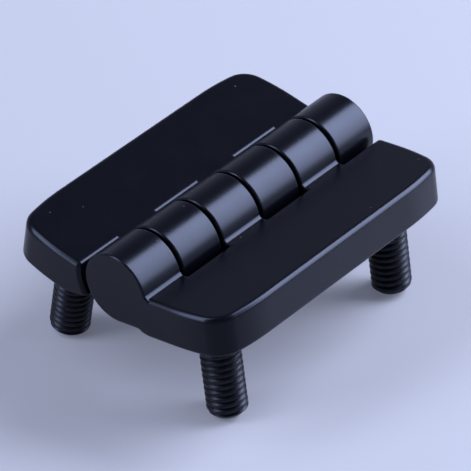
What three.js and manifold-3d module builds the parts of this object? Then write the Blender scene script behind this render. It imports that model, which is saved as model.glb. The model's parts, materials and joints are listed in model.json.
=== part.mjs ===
// Surface-mounted cabinet hinge with four threaded mounting studs.
//
// Two equal die-cast leaves carry three knuckles each on a common pin. Millimetres, +Z up.
// The barrel runs along Y, the right leaf points to +X and the left leaf to -X. The hinge
// stands on its stud tips, folded a little up from flat, with both leaves tilted by the
// same angle. The origin is on the ground below the middle of the barrel.
import * as THREE from "three";
import { mergeVertices } from "three/addons/utils/BufferGeometryUtils.js";
import Module from "manifold-3d";

const wasm = await Module();
wasm.setup();

// ---- driving dimensions ----------------------------------------------------------------

const LEAF_TILT = THREE.MathUtils.degToRad(8.6);

const HINGE_LENGTH = 50;
const BARREL_RADIUS = 5.4;
const KNUCKLE_PITCH = 8.5;
const KNUCKLE_GAP = 0.5;
const KNUCKLE_CHAMFER = 0.3;

// A leaf in its own frame: X away from the barrel axis, Y along it, Z = 0 the top face,
// which lies in the plane of the axis.
const LEAF_WIDTH = 19.05;
const LEAF_THICKNESS = 6.15;
const PLATE_OVERHANG = 0.2;
const TOP_EDGE_RADIUS = 0.85;
const CORNER_RADIUS = 3.8;
const CORNER_TAPER = THREE.MathUtils.degToRad(9);
const STRAIGHT_SIDE_HALF = 15;
const STRAIGHT_END_REACH = 9.5;

const WEB_FILLET = 0.6;
const FILLET_ROOT = 1;
const WEB_UNDERSIDE = -5.5;
const WEB_RUN_IN = 0.7;
const PAD_START = 5.0;
const PAD_RAMP = 1.6;
const PAD_LIP_RUN = 0.9;
const PAD_LIP_RISE = 0.2;

const POCKET_RADIUS = 6.25;
const POCKET_EDGE_RADIUS = 0.75;
const BEVEL_ANGLE = THREE.MathUtils.degToRad(20.5);
const BEVEL_START = 8.75;

const PIN_RADIUS = 2.4;
const BORE_RADIUS = 2.7;
const PIN_CHAMFER = 0.4;
const BLIND_WALL = 1.6;
const PIN_END_GAP = 0.4;

const STUD_REACH = 11.85;
const STUD_SPAN_HALF = 18.25;
const STUD_RADIUS = 2.95;
const STUD_LENGTH = 13.5;
const STUD_TIP_CHAMFER = 0.75;
const NECK_RADIUS = 2.55;
const NECK_LENGTH = 0.6;
const HEAD_ACROSS_FLATS = 9;
const HEAD_THICKNESS = 2;
const HEAD_DEPTH = 2.2;
const CAST_GAP = 0.3;

const ROUND_SEGMENTS = 64;
const STUD_SEGMENTS = 32;
const ARC_STEPS = 5;
const POCKET_STEPS = 10;

const HALF_LENGTH = HINGE_LENGTH / 2;
const PLATE_HALF = (HINGE_LENGTH + PLATE_OVERHANG) / 2;
const OVERSHOOT = 2;

// ---- materials -------------------------------------------------------------------------

const blackPaint = new THREE.MeshStandardMaterial({
  color: 0x1b1d22,
  roughness: 0.35,
  metalness: 0.2,
});
const blackSteel = new THREE.MeshStandardMaterial({
  color: 0x222326,
  roughness: 0.4,
  metalness: 0.8,
});
const pinSteel = new THREE.MeshStandardMaterial({
  color: 0x8d9096,
  roughness: 0.35,
  metalness: 1,
});

// ---- solid helpers ---------------------------------------------------------------------

/** A closed three.js geometry as a manifold solid. */
function toSolid(geometry) {
  const bare = geometry.clone();
  bare.deleteAttribute("normal");
  bare.deleteAttribute("uv");
  const merged = mergeVertices(bare, 1e-5);
  return new wasm.Manifold(
    new wasm.Mesh({
      numProp: 3,
      vertProperties: new Float32Array(merged.attributes.position.array),
      triVerts: new Uint32Array(merged.index.array),
    }),
  );
}

/** A manifold solid as an indexed three.js geometry. */
function toGeometry(solid) {
  const mesh = solid.getMesh();
  const geometry = new THREE.BufferGeometry();
  geometry.setAttribute("position", new THREE.BufferAttribute(mesh.vertProperties, 3));
  geometry.setIndex(new THREE.BufferAttribute(mesh.triVerts, 1));
  geometry.computeVertexNormals();
  return geometry;
}

/** Points of a circular arc in a plane, both ends included. */
function arc(cx, cy, radius, from, to, steps = ARC_STEPS) {
  return Array.from({ length: steps + 1 }, (_, i) => {
    const angle = from + ((to - from) * i) / steps;
    return new THREE.Vector2(cx + radius * Math.cos(angle), cy + radius * Math.sin(angle));
  });
}

/** A cross-section drawn in X and Z, extruded along Y from yStart to yEnd. */
function alongBarrel(points, yStart, yEnd) {
  const depth = yEnd - yStart;
  const shape = new THREE.Shape(points);
  const geometry = new THREE.ExtrudeGeometry(shape, { depth, bevelEnabled: false });
  geometry.rotateX(Math.PI / 2);
  geometry.translate(0, yEnd, 0);
  return toSolid(geometry);
}

/** A body of revolution about the barrel axis from (radius, y) pairs. */
function turned(profile, segments) {
  const points = profile.map(([radius, y]) => new THREE.Vector2(radius, y));
  return new THREE.LatheGeometry(points, segments);
}

/** A solid through a stack of rings with the same number of points, capped at both ends. */
function loft(rings) {
  const count = rings[0].length;
  const positions = rings.flat().flatMap((p) => [p.x, p.y, p.z]);
  const index = [];
  for (let level = 0; level < rings.length - 1; level += 1) {
    for (let i = 0; i < count; i += 1) {
      const a = level * count + i;
      const b = level * count + ((i + 1) % count);
      index.push(a, b, b + count, a, b + count, a + count);
    }
  }
  const top = (rings.length - 1) * count;
  for (let i = 1; i < count - 1; i += 1) {
    index.push(0, i + 1, i);
    index.push(top, top + i, top + i + 1);
  }
  const geometry = new THREE.BufferGeometry();
  geometry.setAttribute("position", new THREE.Float32BufferAttribute(positions, 3));
  geometry.setIndex(index);
  return toSolid(geometry);
}

// ---- leaf ------------------------------------------------------------------------------

/**
 * Half of the leaf's plan outline, from the barrel side of the +Y end to the middle of the
 * long edge, as points with outward normals. Both edges bow in slightly before the corner.
 */
function outlineHalf() {
  const bow = CORNER_TAPER;
  const corner = CORNER_RADIUS * (Math.cos(bow) - Math.sin(bow));
  const rise = PLATE_HALF - STRAIGHT_SIDE_HALF - corner;
  const run = LEAF_WIDTH - STRAIGHT_END_REACH - corner;
  const sagitta = 1 - Math.cos(bow);
  const chord = Math.sin(bow);
  const scale = chord * chord - sagitta * sagitta;
  const sideRadius = (rise * chord - run * sagitta) / scale;
  const endRadius = (run * chord - rise * sagitta) / scale;

  const points = [];
  const add = (x, y, angle) => {
    points.push({ x, y, nx: Math.cos(angle), ny: Math.sin(angle) });
  };
  const sweep = (cx, cy, radius, from, to) => {
    for (let i = 0; i <= ARC_STEPS; i += 1) {
      const angle = from + ((to - from) * i) / ARC_STEPS;
      add(cx + radius * Math.cos(angle), cy + radius * Math.sin(angle), angle);
    }
  };
  const square = Math.PI / 2;
  const endCentre = PLATE_HALF - endRadius;
  sweep(STRAIGHT_END_REACH, endCentre, endRadius, square, square - bow);
  const last = points[points.length - 1];
  const cornerX = last.x - CORNER_RADIUS * last.nx;
  const cornerY = last.y - CORNER_RADIUS * last.ny;
  points.pop();
  sweep(cornerX, cornerY, CORNER_RADIUS, square - bow, bow);
  points.pop();
  sweep(LEAF_WIDTH - sideRadius, STRAIGHT_SIDE_HALF, sideRadius, bow, 0);
  return points;
}

/**
 * The plate of a leaf: the plan outline with its three free top edges rounded. It starts
 * flush with the leaf's own end knuckle and ends a little past the other leaf's.
 */
function plate() {
  const half = outlineHalf();
  const middle = PLATE_HALF - HALF_LENGTH;
  const ring = (inset, z) => {
    const upper = half.map((p) => ({ x: p.x - inset * p.nx, y: p.y - inset * p.ny }));
    upper.unshift({ x: 0, y: PLATE_HALF - inset });
    const lower = upper.map((p) => ({ x: p.x, y: -p.y }));
    return [...lower, ...upper.reverse()].map((p) => new THREE.Vector3(p.x, middle + p.y, z));
  };
  const rings = [ring(0, -LEAF_THICKNESS)];
  for (let i = 0; i <= ARC_STEPS; i += 1) {
    const angle = (Math.PI / 2) * (i / ARC_STEPS);
    const inset = TOP_EDGE_RADIUS * (1 - Math.cos(angle));
    rings.push(ring(inset, -TOP_EDGE_RADIUS * (1 - Math.sin(angle))));
  }
  return loft(rings);
}

/** What is cut away below the webs, so that only the outer pad touches the panel. */
function webRelief() {
  const below = -LEAF_THICKNESS - OVERSHOOT;
  const points = [
    new THREE.Vector2(-OVERSHOOT, below),
    new THREE.Vector2(PAD_START, below),
    new THREE.Vector2(PAD_START, -LEAF_THICKNESS),
    new THREE.Vector2(PAD_START - PAD_LIP_RUN, -LEAF_THICKNESS + PAD_LIP_RISE),
    new THREE.Vector2(PAD_START - PAD_RAMP, WEB_UNDERSIDE),
    new THREE.Vector2(WEB_RUN_IN, WEB_UNDERSIDE),
    new THREE.Vector2(0, -BARREL_RADIUS),
    new THREE.Vector2(-OVERSHOOT, -BARREL_RADIUS),
  ];
  return alongBarrel(points, -HALF_LENGTH - OVERSHOOT, HALF_LENGTH + OVERSHOOT);
}

/** What is cut away where a knuckle of the other leaf turns, from yStart to yEnd. */
function pocket(yStart, yEnd) {
  const edgeReach = POCKET_RADIUS + POCKET_EDGE_RADIUS;
  const edgeX = Math.sqrt(edgeReach ** 2 - POCKET_EDGE_RADIUS ** 2);
  const edgeAngle = Math.atan2(-POCKET_EDGE_RADIUS, edgeX);

  const slope = Math.tan(BEVEL_ANGLE);
  const bevelZ = (x) => -LEAF_THICKNESS + slope * (BEVEL_START - x);
  const c = bevelZ(0);
  const a = 1 + slope ** 2;
  const b = -2 * slope * c;
  const lipX = (-b + Math.sqrt(b * b - 4 * a * (c * c - POCKET_RADIUS ** 2))) / (2 * a);
  const lipAngle = Math.atan2(bevelZ(lipX), lipX);

  const farX = BEVEL_START + OVERSHOOT;
  const points = [
    new THREE.Vector2(-LEAF_WIDTH, OVERSHOOT),
    new THREE.Vector2(-LEAF_WIDTH, bevelZ(farX)),
    new THREE.Vector2(farX, bevelZ(farX)),
    ...arc(0, 0, POCKET_RADIUS, lipAngle, edgeAngle, POCKET_STEPS),
    ...arc(edgeX, -POCKET_EDGE_RADIUS, POCKET_EDGE_RADIUS, Math.PI + edgeAngle, Math.PI / 2)
      .slice(1),
    new THREE.Vector2(edgeX, OVERSHOOT),
  ];
  return alongBarrel(points, yStart, yEnd);
}

/** One knuckle with chamfered rims and the fillet that joins it to the leaf's top face. */
function knuckle(yStart, yEnd) {
  const body = toSolid(
    turned(
      [
        [0, yStart],
        [BARREL_RADIUS - KNUCKLE_CHAMFER, yStart],
        [BARREL_RADIUS, yStart + KNUCKLE_CHAMFER],
        [BARREL_RADIUS, yEnd - KNUCKLE_CHAMFER],
        [BARREL_RADIUS - KNUCKLE_CHAMFER, yEnd],
        [0, yEnd],
      ],
      ROUND_SEGMENTS,
    ),
  );
  const reach = BARREL_RADIUS + WEB_FILLET;
  const filletX = Math.sqrt(reach ** 2 - WEB_FILLET ** 2);
  const joinAngle = Math.atan2(WEB_FILLET, filletX);
  const fillet = alongBarrel(
    [
      new THREE.Vector2(BARREL_RADIUS - FILLET_ROOT, -FILLET_ROOT),
      new THREE.Vector2(filletX, -FILLET_ROOT),
      ...arc(filletX, WEB_FILLET, WEB_FILLET, 1.5 * Math.PI, Math.PI + joinAngle),
      new THREE.Vector2(BARREL_RADIUS - FILLET_ROOT, BARREL_RADIUS * Math.sin(joinAngle)),
    ],
    yStart + KNUCKLE_CHAMFER,
    yEnd - KNUCKLE_CHAMFER,
  );
  return body.add(fillet);
}

/** The room for a cast-in stud: a hexagonal head pocket, open below around the shank. */
function studRoom(y) {
  const headRadius = (HEAD_ACROSS_FLATS / 2 + CAST_GAP) / Math.cos(Math.PI / 6);
  const headHeight = HEAD_THICKNESS + 2 * CAST_GAP;
  const head = new THREE.CylinderGeometry(headRadius, headRadius, headHeight, 6);
  head.rotateX(Math.PI / 2);
  head.translate(STUD_REACH, y, -HEAD_DEPTH - HEAD_THICKNESS / 2);

  const shankRadius = STUD_RADIUS + CAST_GAP;
  const shankHeight = LEAF_THICKNESS - HEAD_DEPTH - HEAD_THICKNESS / 2 + OVERSHOOT;
  const shank = new THREE.CylinderGeometry(shankRadius, shankRadius, shankHeight, STUD_SEGMENTS);
  shank.rotateX(Math.PI / 2);
  shank.translate(STUD_REACH, y, -LEAF_THICKNESS - OVERSHOOT + shankHeight / 2);
  return toSolid(head).add(toSolid(shank));
}

/** The pin's bore. A blind one leaves a wall closing the knuckle at the -Y end. */
function pinBore(blind) {
  const start = blind ? -HALF_LENGTH + BLIND_WALL : -HALF_LENGTH - OVERSHOOT;
  const end = HALF_LENGTH + OVERSHOOT;
  const bore = new THREE.CylinderGeometry(BORE_RADIUS, BORE_RADIUS, end - start, STUD_SEGMENTS);
  bore.translate(0, (start + end) / 2, 0);
  return toSolid(bore);
}

/** A leaf casting with its knuckles at the first, third and fifth places from the -Y end. */
function leafGeometry(blind) {
  const inner = KNUCKLE_GAP / 2;
  const places = [-HALF_LENGTH - inner];
  for (let i = -2; i <= 2; i += 1) {
    places.push(i * KNUCKLE_PITCH);
  }
  places.push(HALF_LENGTH + inner);

  let casting = plate().subtract(webRelief());
  for (let i = 1; i < 6; i += 2) {
    const end = i === 5 ? HALF_LENGTH + OVERSHOOT : places[i + 1] + inner;
    casting = casting.subtract(pocket(places[i] - inner, end));
  }
  for (let i = 0; i < 6; i += 2) {
    casting = casting.add(knuckle(places[i] + inner, places[i + 1] - inner));
  }
  for (const side of [-1, 1]) {
    casting = casting.subtract(studRoom(side * STUD_SPAN_HALF));
  }
  return toGeometry(casting.subtract(pinBore(blind)));
}

// ---- stud and pin ----------------------------------------------------------------------

/** A stud standing on its tip: hexagonal head on top, neck, thread and chamfered tip. */
function studGeometry() {
  const face = -LEAF_THICKNESS;
  const tip = face - STUD_LENGTH;
  const headTop = -HEAD_DEPTH;
  const headBottom = headTop - HEAD_THICKNESS;
  const shank = turned(
    [
      [0, tip],
      [STUD_RADIUS - STUD_TIP_CHAMFER, tip],
      [STUD_RADIUS, tip + STUD_TIP_CHAMFER],
      [STUD_RADIUS, face - NECK_LENGTH],
      [NECK_RADIUS, face - NECK_LENGTH],
      [NECK_RADIUS, headBottom + HEAD_THICKNESS / 2],
      [0, headBottom + HEAD_THICKNESS / 2],
    ],
    STUD_SEGMENTS,
  );
  shank.rotateX(Math.PI / 2);

  const headRadius = HEAD_ACROSS_FLATS / 2 / Math.cos(Math.PI / 6);
  const head = new THREE.CylinderGeometry(headRadius, headRadius, HEAD_THICKNESS, 6);
  head.rotateX(Math.PI / 2);
  head.translate(0, 0, headTop - HEAD_THICKNESS / 2);
  return toGeometry(toSolid(shank).add(toSolid(head)));
}

/** The pin, from the blind knuckle to flush with the open one. */
function pinGeometry() {
  const start = -HALF_LENGTH + BLIND_WALL + PIN_END_GAP;
  const end = HALF_LENGTH;
  return toGeometry(
    toSolid(
      turned(
        [
          [0, start],
          [PIN_RADIUS - PIN_CHAMFER, start],
          [PIN_RADIUS, start + PIN_CHAMFER],
          [PIN_RADIUS, end - PIN_CHAMFER],
          [PIN_RADIUS - PIN_CHAMFER, end],
          [0, end],
        ],
        STUD_SEGMENTS,
      ),
    ),
  );
}

// ---- assembly --------------------------------------------------------------------------

/** Height of the barrel axis when the inner rims of the stud tips touch the ground. */
function axisHeight() {
  const tipX = STUD_REACH - (STUD_RADIUS - STUD_TIP_CHAMFER);
  const tipDepth = LEAF_THICKNESS + STUD_LENGTH;
  return tipDepth * Math.cos(LEAF_TILT) - tipX * Math.sin(LEAF_TILT);
}

/** A leaf with its two studs, turned to its side of the barrel and tilted up. */
function leafGroup(side, blind) {
  const leaf = new THREE.Mesh(leafGeometry(blind), blackPaint);
  leaf.name = `${side}_leaf`;
  const studs = [-1, 1].map((end) => {
    const stud = new THREE.Mesh(studGeometry(), blackSteel);
    const towardsFront = side === "right" ? end < 0 : end > 0;
    stud.name = `stud_${side}_${towardsFront ? "front" : "back"}`;
    stud.position.set(STUD_REACH, end * STUD_SPAN_HALF, 0);
    return stud;
  });
  const turnedLeaf = new THREE.Group();
  turnedLeaf.add(leaf, ...studs);
  turnedLeaf.rotation.z = side === "right" ? 0 : Math.PI;

  const tilted = new THREE.Group();
  tilted.add(turnedLeaf);
  tilted.rotation.y = side === "right" ? -LEAF_TILT : LEAF_TILT;
  return tilted;
}

const pin = new THREE.Mesh(pinGeometry(), pinSteel);
pin.name = "hinge_pin";

const hinge = new THREE.Group();
hinge.name = "stud_hinge";
hinge.position.z = axisHeight();
hinge.add(leafGroup("left", false), leafGroup("right", true), pin);

export default hinge;
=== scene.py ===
"""A surface-mounted cabinet hinge of two black die-cast leaves, dressed for a studio picture.

The leaves are one casting, used twice and turned end for end. Each carries three knuckles
on a shared pin and stands on two cast-in threaded studs. Sizes are in millimetres, in the
leaf's own frame: X away from the barrel axis, Y along it, and Z = 0 the top face. The
finished meshes are in metres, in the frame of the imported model.
"""

import json
import logging
import math
from dataclasses import dataclass
from enum import Enum
from typing import Any, Callable

import bpy
import numpy as np
from mathutils import Matrix, Vector

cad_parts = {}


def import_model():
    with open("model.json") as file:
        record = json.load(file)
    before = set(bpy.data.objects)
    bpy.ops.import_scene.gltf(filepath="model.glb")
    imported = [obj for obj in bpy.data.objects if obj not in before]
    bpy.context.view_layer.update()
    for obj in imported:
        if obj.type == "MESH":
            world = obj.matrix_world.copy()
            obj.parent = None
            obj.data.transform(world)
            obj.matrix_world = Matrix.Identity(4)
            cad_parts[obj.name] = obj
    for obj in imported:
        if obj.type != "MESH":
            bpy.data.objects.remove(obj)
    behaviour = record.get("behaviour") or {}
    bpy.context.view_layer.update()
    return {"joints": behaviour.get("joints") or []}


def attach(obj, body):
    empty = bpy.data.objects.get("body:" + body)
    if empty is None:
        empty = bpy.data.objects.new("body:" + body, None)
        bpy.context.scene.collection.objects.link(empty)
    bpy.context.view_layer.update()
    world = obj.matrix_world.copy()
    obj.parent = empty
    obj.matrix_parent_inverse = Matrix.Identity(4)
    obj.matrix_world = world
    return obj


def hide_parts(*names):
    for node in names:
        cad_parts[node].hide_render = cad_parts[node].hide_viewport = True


LOG = logging.getLogger("cabinet_hinge")

MM = 0.001
LEAF_TILT = math.radians(8.6)
TONE_RANGE = (0.3, 0.7)
WELD_DISTANCE = 0.002
SAME_PLACE = 0.01
PHASE_NUDGE = 0.001
ALL_BUT_ENDS = 0.4999

Field = Callable[[np.ndarray], np.ndarray]
Colour = tuple[float, float, float]
Zone = tuple[float, float, float]


class Side(Enum):
    """The two sides of the hinge, named for where they point."""

    LEFT = "left"
    RIGHT = "right"

    @property
    def body(self) -> str:
        """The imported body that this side's pieces ride on."""
        return f"{self.value}_side"

    @property
    def blind(self) -> bool:
        """Whether this leaf's end knuckle closes the pin's bore."""
        return self is Side.RIGHT

    def placement(self, axis_point: Vector) -> Matrix:
        """Where this side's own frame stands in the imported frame.

        Args:
            axis_point: The middle of the barrel axis, in metres.

        Returns:
            The matrix from millimetres in the leaf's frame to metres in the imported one.
        """
        right = self is Side.RIGHT
        tilt = Matrix.Rotation(-LEAF_TILT if right else LEAF_TILT, 4, "Y")
        turn = Matrix.Rotation(0.0 if right else math.pi, 4, "Z")
        return Matrix.Translation(axis_point) @ tilt @ turn @ Matrix.Scale(MM, 4)


# ---- solid fields ----------------------------------------------------------------------


def rounded_both(a: np.ndarray, b: np.ndarray, radius: float) -> np.ndarray:
    """What two solids share, with the edge where they meet rounded.

    Args:
        a: Distance from the first solid, negative inside.
        b: Distance from the second solid.
        radius: Radius of the rounded edge.

    Returns:
        Distance from the shared solid.
    """
    outside = np.hypot(np.maximum(a + radius, 0.0), np.maximum(b + radius, 0.0))
    return outside + np.minimum(np.maximum(a, b) + radius, 0.0) - radius


def filleted_either(a: np.ndarray, b: np.ndarray, radius: float) -> np.ndarray:
    """Two solids joined, with a fillet in the corner between them.

    Args:
        a: Distance from the first solid, negative inside.
        b: Distance from the second solid.
        radius: Radius of the fillet.

    Returns:
        Distance from the joined solid.
    """
    inside = np.hypot(np.maximum(radius - a, 0.0), np.maximum(radius - b, 0.0))
    return np.maximum(np.minimum(a, b), radius) - inside


def graded_lines(
    low: float, high: float, zones: list[Zone], growth: float, coarsest: float
) -> np.ndarray:
    """Grid lines that stand close where the shape bends and far apart elsewhere.

    Args:
        low: First line.
        high: Last line.
        zones: Stretches as (start, end, step), each with its own spacing.
        growth: How fast the spacing grows with the distance from a stretch.
        coarsest: Largest spacing.

    Returns:
        The lines' positions.
    """
    lines = [low]
    while lines[-1] < high:
        at = lines[-1]
        steps = [step + growth * max(start - at, at - end, 0.0) for start, end, step in zones]
        lines.append(at + min([coarsest, *steps]))
    return np.array(lines)


@dataclass(frozen=True)
class SkinMesher:
    """Turns a solid field into a closed quad mesh that lies exactly on its surface.

    One vertex is set in each grid cell that the surface passes through, and is then moved
    along the field's slope until it is on the surface.
    """

    lines: tuple[np.ndarray, np.ndarray, np.ndarray]
    settle_rounds: int = 5
    slope_step: float = 0.02
    least_slope: float = 0.1

    def slope(self, field: Field, points: np.ndarray) -> np.ndarray:
        """The field's gradient at some points, by central differences."""
        parts = []
        for step in np.eye(3) * self.slope_step:
            parts.append(field(points + step) - field(points - step))
        return np.stack(parts, axis=1) / (2 * self.slope_step)

    def build(self, field: Field) -> tuple[np.ndarray, np.ndarray, np.ndarray]:
        """Meshes a field.

        Args:
            field: Distance from the solid's surface, negative inside.

        Returns:
            Vertices, quads as rows of four vertex numbers, and a normal for each vertex.
        """
        grid = np.stack(np.meshgrid(*self.lines, indexing="ij"), axis=-1)
        values = field(grid.reshape(-1, 3)).reshape(grid.shape[:3])
        inside = values < 0
        cells = tuple(n - 1 for n in values.shape)
        total = np.zeros((*cells, 3))
        count = np.zeros(cells)
        crossings = []
        for axis in range(3):
            first = tuple(slice(0, -1) if i == axis else slice(None) for i in range(3))
            second = tuple(slice(1, None) if i == axis else slice(None) for i in range(3))
            at = np.argwhere(inside[first] != inside[second])
            near = values[first][tuple(at.T)]
            far = values[second][tuple(at.T)]
            share = (near / (near - far))[:, None]
            spot = grid[first][tuple(at.T)] * (1 - share) + grid[second][tuple(at.T)] * share
            u, v = (axis + 1) % 3, (axis + 2) % 3
            around = []
            for du, dv in ((0, 0), (-1, 0), (-1, -1), (0, -1)):
                cell = at.copy()
                cell[:, u] += du
                cell[:, v] += dv
                around.append(cell)
                where = tuple(cell.T)
                np.add.at(total, where, spot)
                np.add.at(count, where, 1)
            crossings.append((around, near < 0))

        used = count > 0
        number = np.full(cells, -1)
        number[used] = np.arange(int(used.sum()))
        points = total[used] / count[used][:, None]
        corner = np.argwhere(used)
        low = np.stack([self.lines[i][corner[:, i]] for i in range(3)], axis=1)
        high = np.stack([self.lines[i][corner[:, i] + 1] for i in range(3)], axis=1)
        for _ in range(self.settle_rounds):
            slope = self.slope(field, points)
            size = np.maximum((slope**2).sum(1), self.least_slope)
            points = np.clip(points - (field(points) / size)[:, None] * slope, low, high)

        quads = []
        for around, leaving in crossings:
            ring = np.stack([number[tuple(cell.T)] for cell in around], axis=1)
            quads.append(np.where(leaving[:, None], ring, ring[:, ::-1]))
        normals = self.slope(field, points)
        normals /= np.linalg.norm(normals, axis=1)[:, None]
        return points, np.concatenate(quads), normals


def mesh_object(name: str, mesh: bpy.types.Mesh) -> bpy.types.Object:
    """An object at the origin that shows a mesh."""
    made = bpy.data.objects.new(name, mesh)
    bpy.context.scene.collection.objects.link(made)
    return made


# ---- node trees ------------------------------------------------------------------------


@dataclass
class Wiring:
    """A node tree with short ways to add nodes and to join them."""

    tree: bpy.types.NodeTree

    def node(self, kind: str, inputs: dict[str, Any] | None = None, **settings: Any) -> Any:
        """Adds a node.

        Args:
            kind: The node's type.
            inputs: For each input name or number, a plain value or an output to join to it.
            **settings: The node's own settings.

        Returns:
            The node.
        """
        made = self.tree.nodes.new(kind)
        for key, value in settings.items():
            setattr(made, key, value)
        for key, value in (inputs or {}).items():
            socket = self.socket(made, key)
            if isinstance(value, bpy.types.NodeSocket):
                self.tree.links.new(value, socket)
            else:
                socket.default_value = value
        return made

    @staticmethod
    def socket(node: Any, key: str | int) -> Any:
        """A node's input by number, by identifier or by name."""
        if isinstance(key, int):
            return node.inputs[key]
        found = [s for s in node.inputs if s.identifier == key and s.enabled]
        return found[0] if found else next(s for s in node.inputs if s.name == key and s.enabled)

    def math(self, operation: str, *values: Any) -> Any:
        """The output of a Math node on plain numbers or outputs."""
        node = self.node("ShaderNodeMath", dict(enumerate(values)), operation=operation)
        return node.outputs["Value"]

    def plus(self, first: Any, second: Any) -> Any:
        """The sum of two values."""
        return self.math("ADD", first, second)

    def less(self, first: Any, second: Any) -> Any:
        """The first value less the second."""
        return self.math("SUBTRACT", first, second)

    def times(self, first: Any, second: Any) -> Any:
        """The product of two values."""
        return self.math("MULTIPLY", first, second)

    def fused(self, first: Any, second: Any, added: Any) -> Any:
        """The product of two values, with a third one added."""
        return self.math("MULTIPLY_ADD", first, second, added)

    def spread(self, value: Any, source: tuple, target: tuple, smooth: bool = False) -> Any:
        """A value carried from one range to another, held at the ends.

        Args:
            value: The output to read.
            source: Where the range starts and ends.
            target: What it becomes at the start and at the end.
            smooth: Whether it eases in and out.

        Returns:
            The carried value's output.
        """
        inputs = {
            "Value": value,
            "From Min": source[0],
            "From Max": source[1],
            "To Min": target[0],
            "To Max": target[1],
        }
        kind = "SMOOTHSTEP" if smooth else "LINEAR"
        node = self.node("ShaderNodeMapRange", inputs, interpolation_type=kind)
        return node.outputs["Result"]

    def blend(self, share: Any, first: Any, second: Any) -> Any:
        """Two colours mixed by a share."""
        inputs = {"Factor_Float": share, "A_Color": first, "B_Color": second}
        node = self.node("ShaderNodeMix", inputs, data_type="RGBA")
        return next(s for s in node.outputs if s.identifier == "Result_Color")

    def noise(self, vector: Any, scale: Any, detail: float = 2.0) -> Any:
        """The value of a noise texture."""
        inputs = {"Vector": vector, "Scale": scale, "Detail": detail}
        return self.node("ShaderNodeTexNoise", inputs).outputs["Fac"]

    def vector(self, **parts: Any) -> Any:
        """A vector from its X, Y and Z, each a plain number or an output."""
        return self.node("ShaderNodeCombineXYZ", parts).outputs["Vector"]


def shader_tree(owner: Any) -> Wiring:
    """The emptied node tree of a material, a lamp or a world."""
    owner.use_nodes = True
    owner.node_tree.nodes.clear()
    return Wiring(owner.node_tree)


def coated(wiring: Wiring, inputs: dict[str, Any]) -> None:
    """Ends a material with a plain surface shader that has the given inputs."""
    shader = wiring.node("ShaderNodeBsdfPrincipled", inputs)
    wiring.node("ShaderNodeOutputMaterial", {"Surface": shader.outputs["BSDF"]})


def rgba(colour: Colour) -> tuple[float, float, float, float]:
    """An opaque colour with its fourth number."""
    return (*colour, 1.0)


# ---- effects that several finishes share -----------------------------------------------


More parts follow.
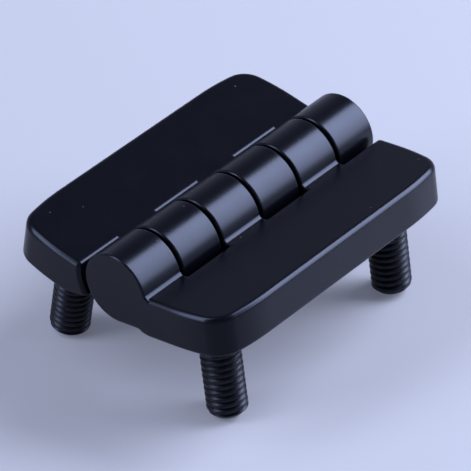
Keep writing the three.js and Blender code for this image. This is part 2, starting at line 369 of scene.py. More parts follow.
class Effects:
    """Shader node groups, each built once and placed in every finish that uses it.

    Noise scales are in turns for each millimetre.
    """

    WAVE_SCALE = 0.22
    GRAIN_IN_TONE = 0.35
    PATCH_LEVELS = (0.42, 0.62)
    EDGE_FADE = 0.4
    WARP_SCALE = 1.7
    CLOUD_SCALE = 0.35
    CLOUD_LEVELS = (0.35, 0.75)
    SPECK_CHANCES = (0.5, 1.0)

    def __init__(self) -> None:
        """Builds the groups."""
        self.skin = self._skin()
        self.wear = self._wear()
        self.dust = self._dust()

    @staticmethod
    def _group(name: str, inputs: dict[str, float], outputs: list[str]) -> tuple[Any, Any, Any]:
        """An empty group with float inputs and outputs.

        Args:
            name: The group's name.
            inputs: Names and starting values of the inputs.
            outputs: Names of the outputs.

        Returns:
            The group's wiring, the outputs of its input node, and its output node.
        """
        tree = bpy.data.node_groups.new(name, "ShaderNodeTree")
        add = tree.interface.new_socket
        for key, value in inputs.items():
            add(name=key, in_out="INPUT", socket_type="NodeSocketFloat").default_value = value
        for key in outputs:
            add(name=key, in_out="OUTPUT", socket_type="NodeSocketFloat")
        wiring = Wiring(tree)
        given = wiring.node("NodeGroupInput").outputs
        return wiring, given, wiring.node("NodeGroupOutput")

    @staticmethod
    def _millimetres(wiring: Wiring) -> Any:
        """Object coordinates in millimetres."""
        place = wiring.node("ShaderNodeTexCoord").outputs["Object"]
        scaled = wiring.node("ShaderNodeMapping", {"Vector": place, "Scale": (1 / MM,) * 3})
        return scaled.outputs["Vector"]

    def _skin(self) -> bpy.types.NodeTree:
        """Fine orange peel and slow waviness of a sprayed or rolled surface."""
        wiring, given, result = self._group(
            "surface_skin",
            {"Peel Scale": 2.2, "Peel": 1.0, "Grain Scale": 9.0, "Grain": 0.3, "Wave": 1.0},
            ["Height", "Tone"],
        )
        place = self._millimetres(wiring)
        peel = wiring.noise(place, given["Peel Scale"])
        grain = wiring.noise(place, given["Grain Scale"], 3.0)
        wave = wiring.noise(place, self.WAVE_SCALE, 1.0)
        height = wiring.times(peel, given["Peel"])
        height = wiring.fused(grain, given["Grain"], height)
        height = wiring.fused(wave, given["Wave"], height)
        wiring.tree.links.new(height, result.inputs["Height"])
        waves = wiring.times(wave, 1 - self.GRAIN_IN_TONE)
        tone = wiring.fused(grain, self.GRAIN_IN_TONE, waves)
        wiring.tree.links.new(tone, result.inputs["Tone"])
        return wiring.tree

    def _wear(self) -> bpy.types.NodeTree:
        """Rubbed patches along edges, broken up by noise. Edges come from the mesh."""
        wiring, given, result = self._group(
            "edge_wear", {"Start": 0.5, "Amount": 0.5, "Patch Scale": 0.8}, ["Mask"]
        )
        edge = wiring.node("ShaderNodeAttribute", attribute_name="edge").outputs["Fac"]
        place = self._millimetres(wiring)
        patches = wiring.noise(place, given["Patch Scale"], 4.0)
        patches = wiring.spread(patches, self.PATCH_LEVELS, (0.0, 1.0), smooth=True)
        end = wiring.plus(given["Start"], self.EDGE_FADE)
        edge = wiring.spread(edge, (given["Start"], end), (0.0, 1.0), smooth=True)
        mask = wiring.times(edge, patches)
        mask = wiring.times(mask, given["Amount"])
        wiring.tree.links.new(mask, result.inputs["Mask"])
        return wiring.tree

    def _dust(self) -> bpy.types.NodeTree:
        """Sparse specks and a thin film on the faces that look up at rest."""
        wiring, given, result = self._group(
            "dust", {"Speck Scale": 0.45, "Speck Size": 0.09, "Film": 0.1}, ["Specks", "Film"]
        )
        up = wiring.node("ShaderNodeAttribute", attribute_name="upward").outputs["Fac"]
        place = self._millimetres(wiring)
        warp = wiring.node("ShaderNodeTexNoise", {"Vector": place, "Scale": self.WARP_SCALE})
        bent = wiring.node(
            "ShaderNodeVectorMath",
            {0: warp.outputs["Color"], 1: (0.5,) * 3, 2: place},
            operation="MULTIPLY_ADD",
        )
        placed = {"Vector": bent.outputs["Vector"], "Scale": given["Speck Scale"]}
        spots = wiring.node("ShaderNodeTexVoronoi", placed)
        chance = wiring.node("ShaderNodeSeparateColor", {"Color": spots.outputs["Color"]})
        size = wiring.spread(chance.outputs["Red"], self.SPECK_CHANCES, (0.0, 1.0))
        size = wiring.times(size, given["Speck Size"])
        near = wiring.math("LESS_THAN", spots.outputs["Distance"], size)
        wiring.tree.links.new(wiring.times(near, up), result.inputs["Specks"])
        cloud = wiring.noise(place, self.CLOUD_SCALE, 5.0)
        cloud = wiring.spread(cloud, self.CLOUD_LEVELS, (0.0, 1.0))
        film = wiring.times(wiring.times(cloud, up), given["Film"])
        wiring.tree.links.new(film, result.inputs["Film"])
        return wiring.tree


# ---- finishes --------------------------------------------------------------------------


@dataclass(frozen=True)
class BlackCoat:
    """A black skin with a soft shine, rubbed along its edges and dusty where it looks up.

    It is a little rougher in reflections than it looks, which keeps grooves dark.
    """

    name: str
    colour: Colour
    rubbed: Colour
    sheen_tint: Colour
    roughness: tuple[float, float]
    bump_height: float
    grain: float
    wear_start: float
    wear_amount: float
    rougher_in_gloss: float = 0.0
    refraction: float = 1.3
    dusty: Colour = (0.03, 0.032, 0.042)
    dust_film: float = 0.012
    speck_roughness: float = 0.3

    def material(self, effects: Effects) -> bpy.types.Material:
        """Builds the material.

        Args:
            effects: The shared node groups.

        Returns:
            The coat.
        """
        coat = bpy.data.materials.new(self.name)
        wiring = shader_tree(coat)
        skin = wiring.node("ShaderNodeGroup", node_tree=effects.skin)
        skin.inputs["Grain"].default_value = self.grain
        wear = wiring.node("ShaderNodeGroup", node_tree=effects.wear)
        wear.inputs["Start"].default_value = self.wear_start
        wear.inputs["Amount"].default_value = self.wear_amount
        dust = wiring.node("ShaderNodeGroup", node_tree=effects.dust)
        dust.inputs["Film"].default_value = self.dust_film
        specks = dust.outputs["Specks"]

        colour = wiring.blend(wear.outputs["Mask"], rgba(self.colour), rgba(self.rubbed))
        colour = wiring.blend(dust.outputs["Film"], colour, rgba(self.dusty))
        colour = wiring.blend(specks, colour, rgba(self.dusty))
        rough = wiring.spread(skin.outputs["Tone"], TONE_RANGE, self.roughness)
        rough = wiring.fused(specks, self.speck_roughness, rough)
        in_gloss = wiring.node("ShaderNodeLightPath").outputs["Is Glossy Ray"]
        rough = wiring.fused(in_gloss, self.rougher_in_gloss, rough)
        bump = wiring.node(
            "ShaderNodeBump", {"Height": skin.outputs["Height"], "Distance": self.bump_height}
        )
        coated(
            wiring,
            {
                "Base Color": colour,
                "Roughness": rough,
                "Normal": bump.outputs["Normal"],
                "IOR": self.refraction,
                "Specular Tint": rgba(self.sheen_tint),
            },
        )
        return coat


SATIN_PAINT = BlackCoat(
    name="satin_black_paint",
    colour=(0.0013, 0.0016, 0.0028),
    rubbed=(0.02, 0.021, 0.026),
    sheen_tint=(0.75, 0.83, 1.0),
    roughness=(0.24, 0.28),
    bump_height=0.0022 * MM,
    grain=0.3,
    wear_start=0.62,
    wear_amount=0.3,
    rougher_in_gloss=0.2,
)
BLACKENED_STEEL = BlackCoat(
    name="blackened_steel",
    colour=(0.002, 0.0022, 0.003),
    rubbed=(0.012, 0.013, 0.017),
    sheen_tint=(0.78, 0.86, 1.0),
    roughness=(0.32, 0.42),
    bump_height=0.003 * MM,
    grain=0.8,
    wear_start=0.55,
    wear_amount=0.6,
)


@dataclass(frozen=True)
class TurnedSteel:
    """Bright turned steel of the pin, with fine rings left by the tool on its end."""

    name: str = "turned_steel"
    colour: Colour = (0.42, 0.42, 0.44)
    darker: Colour = (0.25, 0.25, 0.27)
    roughness: tuple[float, float] = (0.22, 0.38)
    ring_height: float = 0.006 * MM
    rings_per_mm: float = 9.0
    ring_unevenness: float = 0.4
    ring_contrast: float = 0.4
    shade_levels: tuple[float, float] = (0.4, 1.1)

    def material(self, effects: Effects, axis_height: float) -> bpy.types.Material:
        """Builds the material.

        Args:
            effects: The shared node groups.
            axis_height: Height of the pin's axis, in metres, which the rings go round.

        Returns:
            The bright steel.
        """
        steel = bpy.data.materials.new(self.name)
        wiring = shader_tree(steel)
        skin = wiring.node("ShaderNodeGroup", node_tree=effects.skin)
        place = wiring.node("ShaderNodeTexCoord").outputs["Object"]
        centred = wiring.node(
            "ShaderNodeMapping",
            {
                "Vector": place,
                "Location": (0, 0, -axis_height / MM),
                "Scale": (1 / MM, 0, 1 / MM),
            },
        )
        rings = wiring.node(
            "ShaderNodeTexWave",
            {
                "Vector": centred.outputs["Vector"],
                "Scale": self.rings_per_mm / math.pi,
                "Distortion": self.ring_unevenness,
                "Detail": 1.0,
            },
            wave_type="RINGS",
            rings_direction="SPHERICAL",
        )
        ring = rings.outputs["Fac"]
        shade = wiring.fused(ring, self.ring_contrast, skin.outputs["Tone"])
        shade = wiring.spread(shade, self.shade_levels, (0.0, 1.0))
        colour = wiring.blend(shade, rgba(self.colour), rgba(self.darker))
        rough = wiring.spread(skin.outputs["Tone"], TONE_RANGE, self.roughness)
        bump = wiring.node("ShaderNodeBump", {"Height": ring, "Distance": self.ring_height})
        normal = bump.outputs["Normal"]
        coated(
            wiring,
            {"Base Color": colour, "Metallic": 1.0, "Roughness": rough, "Normal": normal},
        )
        return steel


# ---- leaf ------------------------------------------------------------------------------


@dataclass(frozen=True)
class LeafCasting:
    """One leaf: a plate with rounded edges and three knuckles of the shared barrel."""

    side: Side
    length: float = 50.0
    barrel_radius: float = 5.4
    knuckle_pitch: float = 8.5
    knuckle_gap: float = 0.5
    rim_radius: float = 0.28
    width: float = 19.05
    thickness: float = 6.15
    overhang: float = 0.2
    top_edge_radius: float = 0.85
    bottom_edge_radius: float = 0.45
    corner_radius: float = 3.8
    corner_taper: float = math.radians(9)
    straight_side_half: float = 15.0
    straight_end_reach: float = 9.5
    web_fillet: float = 0.6
    web_foot: float = 6.0
    pocket_radius: float = 6.25
    pocket_edge_radius: float = 0.75
    bevel_angle: float = math.radians(20.5)
    bevel_start: float = 8.75
    wall_edge_radius: float = 0.3
    bore_radius: float = 2.55
    blind_wall: float = 1.6
    stud_reach: float = 11.85
    stud_span_half: float = 18.25
    stud_seat_radius: float = 2.8
    stud_seat_depth: float = 1.1
    web_depth: float = 1.5
    web_overlap: float = 1.0
    mouth_radius: float = 0.2
    underside_slope: float = 0.9
    underside_steps: tuple[tuple[float, float], ...] = (
        (0.0, -5.4), (0.7, -5.5), (3.4, -5.5), (4.1, -5.95), (5.0, -6.15),
    )
    grid_margin: float = 0.4
    stud_zone: float = 3.1
    edge_probe: float = 0.15
    sharpest_bend: float = 3.0
    level_enough: float = 0.8
    fully_level: float = 0.95

    @property
    def bounds_along(self) -> list[float]:
        """Where the knuckles meet, from end to end of the barrel."""
        inner = [i * self.knuckle_pitch for i in range(-2, 3)]
        end = (self.length + self.knuckle_gap) / 2
        return [-end, *inner, end]

    def plan(self, x: np.ndarray, y: np.ndarray) -> np.ndarray:
        """Distance from the plate's outline in plan, with its bowed sides and its corners."""
        half = (self.length + self.overhang) / 2
        across = np.abs(y - self.overhang / 2)
        bow = self.corner_taper
        corner = self.corner_radius * (math.cos(bow) - math.sin(bow))
        rise = half - self.straight_side_half - corner
        run = self.width - self.straight_end_reach - corner
        sagitta = 1 - math.cos(bow)
        chord = math.sin(bow)
        scale = chord**2 - sagitta**2
        side_radius = (rise * chord - run * sagitta) / scale
        end_radius = (run * chord - rise * sagitta) / scale

        inset = self.width - side_radius
        bowed_side = np.hypot(x - inset, across - self.straight_side_half) - side_radius
        side = np.where(across > self.straight_side_half, bowed_side, x - self.width)
        inset = half - end_radius
        bowed_end = np.hypot(x - self.straight_end_reach, across - inset) - end_radius
        end = np.where(x > self.straight_end_reach, bowed_end, across - half)

        inward = side_radius - self.corner_radius
        centre_x = self.width - side_radius + inward * math.cos(bow)
        centre_y = self.straight_side_half + inward * math.sin(bow)
        from_x = x - centre_x
        from_y = across - centre_y
        angle = np.arctan2(from_y, from_x)
        in_corner = (angle > bow) & (angle < math.pi / 2 - bow)
        rounded = np.hypot(from_x, from_y) - self.corner_radius
        return np.where(in_corner, rounded, np.maximum(side, end))

    def underside(self, x: np.ndarray) -> np.ndarray:
        """Height of the underside, which steps up from the pad to the web and the barrel."""
        return np.interp(x, *np.transpose(self.underside_steps))

    def field(self, points: np.ndarray) -> np.ndarray:
        """Distance from the casting's surface, negative inside.

        Args:
            points: Rows of X, Y and Z.

        Returns:
            One distance for each row.
        """
        x, y, z = points.T
        radial = np.hypot(x, z)
        plan = self.plan(x, y)
        below = (self.underside(x) - z) * self.underside_slope
        plate = np.maximum(
            rounded_both(plan, z, self.top_edge_radius),
            rounded_both(plan, below, self.bottom_edge_radius),
        )
        plate = np.maximum(plate, -x)

        slope = math.tan(self.bevel_angle)
        bevel = (slope * (self.bevel_start - x) - self.thickness - z) * math.cos(self.bevel_angle)
        open_plate = rounded_both(plate, self.pocket_radius - radial, self.pocket_edge_radius)
        solid = rounded_both(open_plate, bevel, self.wall_edge_radius)

        root = self.barrel_radius - self.web_overlap
        foot = np.maximum.reduce([z, -self.web_depth - z, root - x])
        foot = rounded_both(foot, x - self.web_foot, self.wall_edge_radius)
        section = filleted_either(radial - self.barrel_radius, foot, self.web_fillet)
        bounds = self.bounds_along
        for i in range(0, len(bounds) - 1, 2):
            start = bounds[i] + self.knuckle_gap / 2
            end = bounds[i + 1] - self.knuckle_gap / 2
            slab = np.maximum(start - y, y - end)
            wall = y - end if i == 0 else slab
            solid = np.minimum(solid, rounded_both(plate, wall, self.wall_edge_radius))
            solid = np.minimum(solid, rounded_both(section, slab, self.rim_radius))

        bore = radial - self.bore_radius
        if self.side.blind:
            bore = np.maximum(bore, self.blind_wall - self.length / 2 - y)
        solid = rounded_both(solid, -bore, self.mouth_radius)
        off_stud = np.hypot(x - self.stud_reach, np.abs(y) - self.stud_span_half)
        seat_top = self.stud_seat_depth - self.thickness
        seat = np.maximum(off_stud - self.stud_seat_radius, z - seat_top)
        return rounded_both(solid, -seat, self.mouth_radius)

    def mesher(self) -> SkinMesher:
        """A mesher whose grid is fine where this casting bends.

        The first names are spacings and how they grow, and the rest are reaches past edges.
        """
        crisp, edge, curved, corner, seat_across, seat_along = 0.12, 0.14, 0.22, 0.3, 0.34, 0.36
        growth, growth_along, coarsest, coarsest_along = 0.2, 0.16, 0.6, 0.7
        rim_zone, top_zone, side_zone, corner_zone = 0.1, 0.2, 1.1, 4.5
        end_inside, end_outside, past_end = 0.5, 0.6, 0.7
        margin, zone, half = self.grid_margin, self.stud_zone, self.length / 2
        low, high = -self.barrel_radius - margin, self.barrel_radius + margin
        pocket = self.pocket_radius + self.pocket_edge_radius
        across = graded_lines(
            low,
            self.width + margin,
            [
                (low, pocket, curved),
                (self.stud_reach - zone, self.stud_reach + zone, seat_across),
                (self.width - side_zone, self.width + margin, edge),
                (self.width - corner_zone, self.width, corner),
            ],
            growth,
            coarsest,
        )
        gap = self.knuckle_gap / 2
        rims = [at + side * gap for at in self.bounds_along[1:-1] for side in (-1, 1)]
        zones = [(rim - rim_zone, rim + rim_zone, crisp) for rim in rims]
        for side in (-1, 1):
            zones.append((side * half - end_inside, side * half + end_outside, edge))
            stud = side * self.stud_span_half
            zones.append((stud - zone, stud + zone, seat_along))
        start = -half - end_inside
        along = graded_lines(start, half + past_end, zones, growth_along, coarsest_along)
        under = -self.thickness
        up = graded_lines(
            under - margin,
            high,
            [
                (under - margin, under + margin, edge),
                (-self.top_edge_radius - top_zone, top_zone, edge),
                (under, high, curved),
            ],
            growth,
            coarsest,
        )
        return SkinMesher((across, along, up))

    def build(self, axis_point: Vector) -> bpy.types.Object:
        """Builds the leaf in its place.

        Args:
            axis_point: The middle of the barrel axis, in metres.

        Returns:
            The leaf, with how sharply each point bends and whether it looks up.
        """
        mesher = self.mesher()
        points, quads, normals = mesher.build(self.field)
        around = -6 * self.field(points)
        for step in np.eye(3) * self.edge_probe:
            around += self.field(points + step) + self.field(points - step)
        edge = np.clip(around / self.edge_probe**2 / self.sharpest_bend, 0.0, 1.0)
        start, full = self.level_enough, self.fully_level
        upward = np.clip((normals[:, 2] - start) / (full - start), 0.0, 1.0)

        place = self.side.placement(axis_point)
        placed = points @ np.array(place.to_3x3()).T + axis_point
        mesh = bpy.data.meshes.new(f"{self.side.value}_leaf_casting")
        mesh.from_pydata(placed.tolist(), [], quads.tolist())
        mesh.shade_smooth()
        turned = normals @ np.array(place.to_3x3().normalized()).T
        mesh.normals_split_custom_set_from_vertices(turned.tolist())
        for name, values in (("edge", edge), ("upward", upward)):
            layer = mesh.attributes.new(name, "FLOAT", "POINT")
            layer.data.foreach_set("value", values.astype(np.float32))
        return mesh_object(mesh.name, mesh)

    def dress(self, piece: bpy.types.Object, paint: bpy.types.Material) -> None:
        """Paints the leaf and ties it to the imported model."""
        piece.data.materials.append(paint)
        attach(piece, self.side.body)
        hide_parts(f"{self.side.value}_leaf")


# ---- shapes wound from a grid -----------------------------------------------------------


def shape_tree(name: str, numbers: list[str], counts: list[str]) -> tuple[Wiring, Any]:
    """A geometry node tree with named inputs, a Material input and a Geometry output.

    Args:
        name: The tree's name.
        numbers: Names of its float inputs.
        counts: Names of its whole-number inputs.

    Returns:
        The tree's wiring and the outputs of its input node.
    """
    tree = bpy.data.node_groups.new(name, "GeometryNodeTree")
    sockets = [(key, "INPUT", "NodeSocketFloat") for key in numbers]
    sockets += [(key, "INPUT", "NodeSocketInt") for key in counts]
    sockets.append(("Material", "INPUT", "NodeSocketMaterial"))
    sockets.append(("Geometry", "OUTPUT", "NodeSocketGeometry"))
    for key, in_out, kind in sockets:
        tree.interface.new_socket(name=key, in_out=in_out, socket_type=kind)
    wiring = Wiring(tree)
    return wiring, wiring.node("NodeGroupInput").outputs


def unit_grid(wiring: Wiring, around: Any, rows: Any) -> tuple[Any, Any, Any]:
    """A flat grid to be wound round an axis.

    Args:
        wiring: The tree it is added to.
        around: How many points there are in a row.
        rows: How many rows there are.

    Returns:
        The grid, and each point's share of the way round and of the rows.
    """
    sizes = {"Size X": 1.0, "Size Y": 1.0, "Vertices X": around, "Vertices Y": rows}
    grid = wiring.node("GeometryNodeMeshGrid", sizes)
    spot = wiring.node("GeometryNodeInputPosition").outputs["Position"]
    split = wiring.node("ShaderNodeSeparateXYZ", {"Vector": spot}).outputs
    shares = [wiring.plus(split[axis], 0.5) for axis in ("X", "Y")]
    return grid.outputs["Mesh"], *shares


def closed_at(wiring: Wiring, grid: Any, place: Any) -> Any:
    """A grid moved to its wound place, with the points that meet joined."""
    moved = wiring.node("GeometryNodeSetPosition", {"Geometry": grid, "Position": place})
    inputs = {"Geometry": moved.outputs["Geometry"], "Distance": WELD_DISTANCE}
    return wiring.node("GeometryNodeMergeByDistance", inputs).outputs["Geometry"]


def finished(wiring: Wiring, geometry: Any, material: Any) -> bpy.types.NodeTree:
    """Ends a tree with plain geometry that has its material."""
    real = wiring.node("GeometryNodeRealizeInstances", {"Geometry": geometry})
    inputs = {"Geometry": real.outputs["Geometry"], "Material": material}
    painted = wiring.node("GeometryNodeSetMaterial", inputs)
    wiring.node("NodeGroupOutput", {"Geometry": painted.outputs["Geometry"]})
    return wiring.tree


def from_nodes(
    name: str, tree: bpy.types.NodeTree, sizes: Any, material: bpy.types.Material
) -> bpy.types.Object:
    """A plain mesh piece made by a geometry node tree.

    Args:
        name: The piece's name.
        tree: The node tree.
        sizes: What has each of the tree's inputs as an attribute, in lower case.
        material: The piece's finish.

    Returns:
        The piece, with no modifier left on it.
    """
    maker = mesh_object(f"{name}_maker", bpy.data.meshes.new(f"{name}_maker"))
    modifier = maker.modifiers.new("shape", "NODES")
    modifier.node_group = tree
    for item in tree.interface.items_tree:
        if item.item_type == "SOCKET" and item.in_out == "INPUT":
            is_material = item.name == "Material"
            field = item.name.lower().replace(" ", "_")
            modifier[item.identifier] = material if is_material else getattr(sizes, field)
    bpy.context.view_layer.update()
    seen = maker.evaluated_get(bpy.context.evaluated_depsgraph_get())
    mesh = bpy.data.meshes.new_from_object(seen)
    mesh.name = name
    maker.modifiers.remove(modifier)
    bpy.data.objects.remove(maker)
    return mesh_object(name, mesh)


# ---- studs -----------------------------------------------------------------------------


@dataclass(frozen=True)
class ThreadedStuds:
    """The two threaded studs of a leaf, rolled to a right-hand M6 x 1 thread."""

    side: Side
    reach: float = 11.85
    span_half: float = 18.25
    major_radius: float = 2.95
    minor_radius: float = 2.55
    crest_power: float = 2.2
    stria_depth: float = 0.006
    striae: int = 3
    pitch: float = 1.0
    face: float = -6.15
    thread_start: float = 0.45
    reach_in: float = 1.0
    length: float = 13.5
    neck_radius: float = 2.5
    tip_radius: float = 2.2
    segments: int = 48
    rows_per_turn: int = 24
    turn_between: float = 2.1

    @property
    def tip(self) -> float:
        """Height of the studs' tips."""
        return self.face - self.length

    @property
    def thread_end(self) -> float:
        """Height where the thread has run out."""
        return self.face - self.thread_start

    @property
    def shank_end(self) -> float:
        """Height where the studs end inside the casting."""
        return self.face + self.reach_in

    @property
    def turns(self) -> int:
        """How many turns the grid is wound for, with a spare one at each end."""
        return math.ceil((self.shank_end - self.tip) / self.pitch) + 2

    @staticmethod
    def tree() -> bpy.types.NodeTree:
        """The node tree that winds a thread round a shank and stands it at two places."""
        wiring, given = shape_tree(
            "rolled_stud_pair",
            [
                "Reach", "Span Half", "Major Radius", "Minor Radius", "Pitch", "Tip",
                "Thread End", "Shank End", "Neck Radius", "Tip Radius", "Turn Between",
                "Stria Depth", "Crest Power",
            ],
            ["Segments", "Rows Per Turn", "Turns", "Striae"],
        )
        rows = wiring.times(given["Turns"], given["Rows Per Turn"])
        columns = wiring.plus(given["Segments"], 1.0)
        grid, round_share, row_share = unit_grid(wiring, columns, wiring.plus(rows, 1.0))
        turn = wiring.times(row_share, given["Turns"])
        wound = wiring.plus(wiring.plus(turn, round_share), -1.0)
        height = wiring.fused(wound, given["Pitch"], given["Tip"])
        height = wiring.math("MAXIMUM", height, given["Tip"])
        height = wiring.math("MINIMUM", height, given["Shank End"])

        phase = wiring.math("FRACT", wiring.plus(turn, PHASE_NUDGE))
        off_crest = wiring.math("ABSOLUTE", wiring.fused(phase, 2.0, -1.0))
        crest = wiring.less(1.0, wiring.math("POWER", off_crest, given["Crest Power"]))
        depth = wiring.less(given["Major Radius"], given["Minor Radius"])
        radius = wiring.fused(crest, depth, given["Minor Radius"])
        ripple = wiring.times(wiring.times(phase, given["Striae"]), math.tau)
        ripple = wiring.less(wiring.math("COSINE", ripple), 1.0)
        radius = wiring.fused(ripple, given["Stria Depth"], radius)
        run_out = wiring.less(given["Thread End"], given["Pitch"])
        fade = wiring.spread(height, (run_out, given["Thread End"]), (0.0, 1.0), smooth=True)
        to_neck = wiring.less(given["Neck Radius"], radius)
        radius = wiring.fused(fade, to_neck, radius)
        above = wiring.less(height, given["Tip"])
        radius = wiring.math("MINIMUM", radius, wiring.plus(given["Tip Radius"], above))
        open_rows = wiring.math("COMPARE", row_share, 0.5, ALL_BUT_ENDS)
        radius = wiring.times(radius, open_rows)

        angle = wiring.times(round_share, math.tau)
        place = wiring.vector(
            X=wiring.times(radius, wiring.math("COSINE", angle)),
            Y=wiring.times(radius, wiring.math("SINE", angle)),
            Z=height,
        )
        stored = wiring.node(
            "GeometryNodeStoreNamedAttribute",
            {"Geometry": grid, "Name": "edge", "Value": crest},
            data_type="FLOAT",
            domain="POINT",
        )
        stud = closed_at(wiring, stored.outputs["Geometry"], place)
        smooth = wiring.node("GeometryNodeSetShadeSmooth", {"Geometry": stud})

        half = given["Span Half"]
        ends = {
            "Count": 2,
            "Start Location": wiring.vector(X=given["Reach"], Y=wiring.times(half, -1.0)),
            "Offset": wiring.vector(Y=wiring.times(half, 2.0)),
        }
        index = wiring.node("GeometryNodeInputIndex").outputs["Index"]
        copies = {
            "Points": wiring.node("GeometryNodeMeshLine", ends).outputs["Mesh"],
            "Instance": smooth.outputs["Geometry"],
            "Rotation": wiring.vector(Z=wiring.times(index, given["Turn Between"])),
        }
        pair = wiring.node("GeometryNodeInstanceOnPoints", copies)
        return finished(wiring, pair.outputs["Instances"], given["Material"])

    def build(
        self, axis_point: Vector, tree: bpy.types.NodeTree, steel: bpy.types.Material
    ) -> bpy.types.Object:
        """Builds the studs in their place.

        Args:
            axis_point: The middle of the barrel axis, in metres.
            tree: The node tree of the studs.
            steel: Their finish.

        Returns:
            Both studs of this side as one piece.
        """
        piece = from_nodes(f"{self.side.value}_studs", tree, self, steel)
        piece.data.transform(self.side.placement(axis_point))
        return piece

    def dress(self, piece: bpy.types.Object) -> None:
        """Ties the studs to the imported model."""
        side = self.side.value
        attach(piece, self.side.body)
        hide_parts(f"stud_{side}_front", f"stud_{side}_back")


# ---- pin -------------------------------------------------------------------------------


@dataclass(frozen=True)
class HingePin:
    """The pin: plain in five knuckles, and knurled where it is pressed into the sixth."""

    radius: float = 2.4
    start: float = -23.0
    end: float = 25.0
    chamfer: float = 0.4
    knurl_start: float = 17.6
    knurl_rise: float = 0.5
    knurl_height: float = 0.13
    knurls: int = 28
    steps_per_knurl: int = 6
    rows: int = 160
    face_share: float = 0.06
    dimple_radius: float = 0.9
    dimple_depth: float = 0.25

    @staticmethod
    def tree() -> bpy.types.NodeTree:
        """The node tree that turns a pin along Y, with straight knurls near its +Y end."""
        wiring, given = shape_tree(
            "knurled_pin",
            [
                "Radius", "Start", "End", "Chamfer", "Knurl Start", "Knurl Rise",
                "Knurl Height", "Face Share", "Dimple Radius", "Dimple Depth",
            ],
            ["Knurls", "Steps Per Knurl", "Rows"],
        )
        around = wiring.times(given["Knurls"], given["Steps Per Knurl"])
        columns = wiring.plus(around, 1.0)
        grid, round_share, row_share = unit_grid(wiring, columns, given["Rows"])
        last = wiring.less(1.0, given["Face Share"])
        ends = (given["Start"], given["End"])
        along = wiring.spread(row_share, (given["Face Share"], last), ends)
        opening = wiring.spread(row_share, (0.0, given["Face Share"]), (0.0, given["Radius"]))
        closing = wiring.spread(row_share, (last, 1.0), (given["Radius"], 0.0))
        radius = wiring.math("MINIMUM", opening, closing)

        flat = wiring.less(given["Radius"], given["Chamfer"])
        past = wiring.math("MAXIMUM", wiring.less(radius, flat), 0.0)
        on_start = wiring.math("COMPARE", along, given["Start"], SAME_PLACE)
        on_end = wiring.math("COMPARE", along, given["End"], SAME_PLACE)
        back = wiring.less(on_start, on_end)
        along = wiring.fused(back, past, along)
        in_dimple = (0.0, given["Dimple Radius"])
        dimple = wiring.spread(radius, in_dimple, (given["Dimple Depth"], 0.0))
        along = wiring.fused(back, dimple, along)

        wave = wiring.math("FRACT", wiring.times(round_share, given["Knurls"]))
        ridge = wiring.math("ABSOLUTE", wiring.fused(wave, 2.0, -1.0))
        near_end = wiring.less(given["End"], given["Chamfer"])
        full = wiring.plus(given["Knurl Start"], given["Knurl Rise"])
        band = wiring.spread(along, (given["Knurl Start"], full), (0.0, 1.0))
        band = wiring.times(band, wiring.math("LESS_THAN", along, near_end))
        lift = wiring.times(wiring.times(ridge, band), given["Knurl Height"])
        radius = wiring.plus(radius, lift)

        angle = wiring.times(round_share, math.tau)
        place = wiring.vector(
            X=wiring.times(radius, wiring.math("SINE", angle)),
            Y=along,
            Z=wiring.times(radius, wiring.math("COSINE", angle)),
        )
        return finished(wiring, closed_at(wiring, grid, place), given["Material"])

    def build(self, axis_point: Vector, steel: bpy.types.Material) -> bpy.types.Object:
        """Builds the pin in its place.

        Args:
            axis_point: The middle of the barrel axis, in metres.
            steel: Its finish.

        Returns:
            The pin.
        """
        piece = from_nodes("pressed_pin", self.tree(), self, steel)
        piece.data.transform(Matrix.Translation(axis_point) @ Matrix.Scale(MM, 4))
        return piece

    @staticmethod
    def dress(piece: bpy.types.Object) -> None:
        """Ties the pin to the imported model."""
        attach(piece, Side.LEFT.body)
        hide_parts("hinge_pin")


# ---- studio ----------------------------------------------------------------------------


@dataclass(frozen=True)
class Softbox:
    """A flat square-edged lamp that faces the hinge.

    Its levels are how bright it is at places across its width, from 0 to 1.
    """

    name: str
    towards: tuple[float, float, float]
    edge_along: tuple[float, float, float]
    distance: float
    width: float
    height: float
    radiance: float
    colour: Colour
    levels: tuple[tuple[float, float], ...]

    def build(self, target: Vector) -> None:
        """Hangs the lamp so that it faces a point.

        Args:
            target: What it faces, in metres.
        """
        lamp = bpy.data.lights.new(self.name, "AREA")
        lamp.shape = "RECTANGLE"
        lamp.size = self.width
        lamp.size_y = self.height
        lamp.color = self.colour
        lamp.energy = self.radiance * math.pi * self.width * self.height
        self.shade(lamp)
        back = Vector(self.towards).normalized()
        across = Vector(self.edge_along)
        across = (across - across.dot(back) * back).normalized()
        up = back.cross(across)
        turn = Matrix((across, up, back)).transposed().to_4x4()
        holder = bpy.data.objects.new(self.name, lamp)
        holder.matrix_world = Matrix.Translation(target + back * self.distance) @ turn
        bpy.context.scene.collection.objects.link(holder)

    def shade(self, lamp: bpy.types.AreaLight) -> None:
        """Makes the lamp as bright at each place across its width as its levels say."""
        wiring = shader_tree(lamp)
        spot = wiring.node("ShaderNodeNewGeometry").outputs["Parametric"]
        across = wiring.node("ShaderNodeSeparateXYZ", {"Vector": spot}).outputs["X"]
        ramp = wiring.node("ShaderNodeValToRGB", {"Fac": across})
        stops = ramp.color_ramp.elements
        while len(stops) < len(self.levels):
            stops.new(0.5)
        for stop, (place, level) in zip(stops, self.levels):
            stop.position = place
            stop.color = rgba((level, level, level))
        glow = wiring.node("ShaderNodeEmission", {"Color": ramp.outputs["Color"]})
        wiring.node("ShaderNodeOutputLight", {"Surface": glow.outputs["Emission"]})


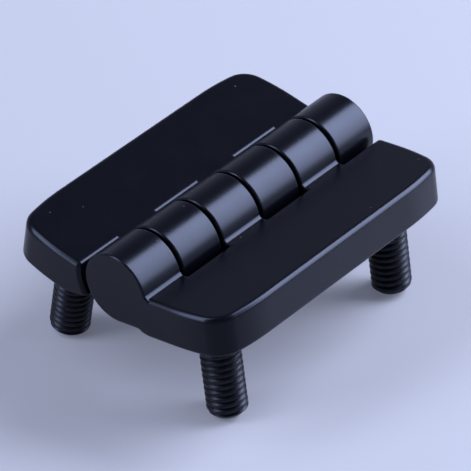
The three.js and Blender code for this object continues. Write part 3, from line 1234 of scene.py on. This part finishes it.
@dataclass(frozen=True)
class Studio:
    """The pale table, the soft lamps round it and the camera.

    The room's level falls from its first value at one height of the view direction to its
    second value at another. The table is a little darker in reflections than it looks.
    """

    tint: Colour = (0.66, 0.72, 1.0)
    table_colour: Colour = (0.33, 0.33, 0.33)
    # Painted fill light: the table glows evenly, which lifts the shadows on it and the light
    # beneath the hinge.
    painted_fill_glow: float = 0.123
    table_in_gloss: float = 0.85
    table_roughness: float = 0.4
    table_half: float = 3.0
    room_heights: tuple[float, float] = (0.1, 0.78)
    room_levels: tuple[float, float] = (0.57, 0.2)
    backdrop_level: float = 0.88
    azimuth: float = math.radians(39.778)
    elevation: float = math.radians(37.105)
    roll: float = math.radians(0.331)
    distance: float = 0.6223
    slide: tuple[float, float] = (0.000442, -0.004021)
    sensor: float = 36.0
    lens: float = 339.8
    rise: float = -0.0021
    clip: tuple[float, float] = (0.05, 20.0)

    def lamps(self) -> list[Softbox]:
        """The lamps: a key strip behind to the right, and a side strip in front to the left."""
        return [
            Softbox(
                name="key_softbox",
                towards=(0.499, 0.70, 0.525),
                edge_along=(-0.766, 0.0, 0.643),
                distance=0.6,
                width=0.767,
                height=0.31,
                radiance=19.5,
                colour=self.tint,
                levels=(
                    (0.0, 0.04), (0.07, 0.2), (0.2, 0.52), (0.315, 0.68), (0.43, 0.82),
                    (0.535, 0.95), (0.64, 1.0), (0.755, 1.0), (0.87, 0.95), (1.0, 0.82),
                ),
            ),
            Softbox(
                name="side_softbox",
                towards=(-0.51, -0.592, 0.624),
                edge_along=(0.0, 0.766, 0.643),
                distance=0.6,
                width=0.867,
                height=0.18,
                radiance=12.5,
                colour=self.tint,
                levels=(
                    (0.0, 0.5), (0.14, 0.7), (0.28, 0.87), (0.38, 0.95), (0.485, 1.0),
                    (0.59, 0.97), (0.685, 0.87), (0.805, 0.66), (0.905, 0.5), (1.0, 0.38),
                ),
            ),
        ]

    def table(self) -> bpy.types.Object:
        """The table top, with a soft shine and an even glow that is painted fill light. It is
        clear from below.
        """
        half = self.table_half
        mesh = bpy.data.meshes.new("table")
        corners = [(-half, -half, 0.0), (half, -half, 0.0), (half, half, 0.0), (-half, half, 0.0)]
        mesh.from_pydata(corners, [], [(0, 1, 2, 3)])
        top = bpy.data.materials.new("table_top")
        wiring = shader_tree(top)
        in_gloss = wiring.node("ShaderNodeLightPath").outputs["Is Glossy Ray"]
        seen = wiring.spread(in_gloss, (0.0, 1.0), (1.0, self.table_in_gloss))
        shader = wiring.node(
            "ShaderNodeBsdfPrincipled",
            {
                "Base Color": wiring.blend(seen, rgba((0.0, 0.0, 0.0)), rgba(self.table_colour)),
                "Roughness": self.table_roughness,
                # painted fill light: the table's own glow, a little less in reflections
                "Emission Color": rgba(self.tint),
                "Emission Strength": wiring.times(seen, self.painted_fill_glow),
            },
        )
        clear = wiring.node("ShaderNodeBsdfTransparent")
        facing = wiring.node("ShaderNodeNewGeometry").outputs["Backfacing"]
        mix = wiring.node(
            "ShaderNodeMixShader", {0: facing, 1: shader.outputs["BSDF"], 2: clear.outputs["BSDF"]}
        )
        wiring.node("ShaderNodeOutputMaterial", {"Surface": mix.outputs["Shader"]})
        mesh.materials.append(top)
        made = mesh_object("table", mesh)
        return made

    def surroundings(self) -> None:
        """A dim room that is pale near the horizon, behind a pale backdrop."""
        world = bpy.data.worlds.new("studio")
        bpy.context.scene.world = world
        wiring = shader_tree(world)
        direction = wiring.node("ShaderNodeTexCoord").outputs["Generated"]
        height = wiring.node("ShaderNodeSeparateXYZ", {"Vector": direction}).outputs["Z"]
        level = wiring.spread(height, self.room_heights, self.room_levels, smooth=True)
        seen = wiring.node("ShaderNodeLightPath").outputs["Is Camera Ray"]
        glows = [
            wiring.node("ShaderNodeBackground", {"Color": rgba(self.tint), "Strength": strength})
            for strength in (level, self.backdrop_level)
        ]
        room, backdrop = (glow.outputs["Background"] for glow in glows)
        mix = wiring.node("ShaderNodeMixShader", {0: seen, 1: room, 2: backdrop})
        wiring.node("ShaderNodeOutputWorld", {"Surface": mix.outputs["Shader"]})

    def camera(self, target: Vector) -> None:
        """Sets the camera at its angle, aimed at a point.

        Args:
            target: The middle of the barrel axis, in metres.
        """
        a, e = self.azimuth, self.elevation
        back = Vector((math.sin(a) * math.cos(e), -math.cos(a) * math.cos(e), math.sin(e)))
        level = Vector((math.cos(a), math.sin(a), 0.0))
        across = Matrix.Rotation(self.roll, 3, back) @ level
        up = back.cross(across)
        data = bpy.data.cameras.new("camera")
        data.sensor_width = self.sensor
        data.lens = self.lens
        data.shift_y = self.rise
        data.clip_start, data.clip_end = self.clip
        holder = bpy.data.objects.new("camera", data)
        spot = target + back * self.distance + across * self.slide[0] + up * self.slide[1]
        turn = Matrix((across, up, back)).transposed().to_4x4()
        holder.matrix_world = Matrix.Translation(spot) @ turn
        bpy.context.scene.collection.objects.link(holder)
        bpy.context.scene.camera = holder

    def build(self, target: Vector) -> None:
        """Builds the whole studio round a point.

        Args:
            target: The middle of the barrel axis, in metres.
        """
        self.camera(target)
        self.table()
        self.surroundings()
        for lamp in self.lamps():
            lamp.build(target)
        bpy.context.scene.view_settings.view_transform = "Standard"


# ---- the whole hinge -------------------------------------------------------------------


def main() -> None:
    """Builds the studio and the hinge's pieces, and reports each piece."""
    logging.basicConfig(level=logging.INFO, format="%(name)s: %(message)s")
    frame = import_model()
    axis_point = Vector(frame["joints"][0]["pos_m"])

    Studio().build(axis_point)
    effects = Effects()
    paint = SATIN_PAINT.material(effects)
    black_steel = BLACKENED_STEEL.material(effects)
    bright_steel = TurnedSteel().material(effects, axis_point.z)

    stud_tree = ThreadedStuds.tree()
    made = []
    for side in Side:
        casting = LeafCasting(side)
        leaf = casting.build(axis_point)
        casting.dress(leaf, paint)
        studs = ThreadedStuds(side)
        pair = studs.build(axis_point, stud_tree, black_steel)
        studs.dress(pair)
        made += [leaf, pair]
    pin = HingePin()
    rod = pin.build(axis_point, bright_steel)
    pin.dress(rod)
    made.append(rod)
    for piece in made:
        LOG.info("%s: %d faces", piece.name, len(piece.data.polygons))


if __name__ == "__main__":
    main()
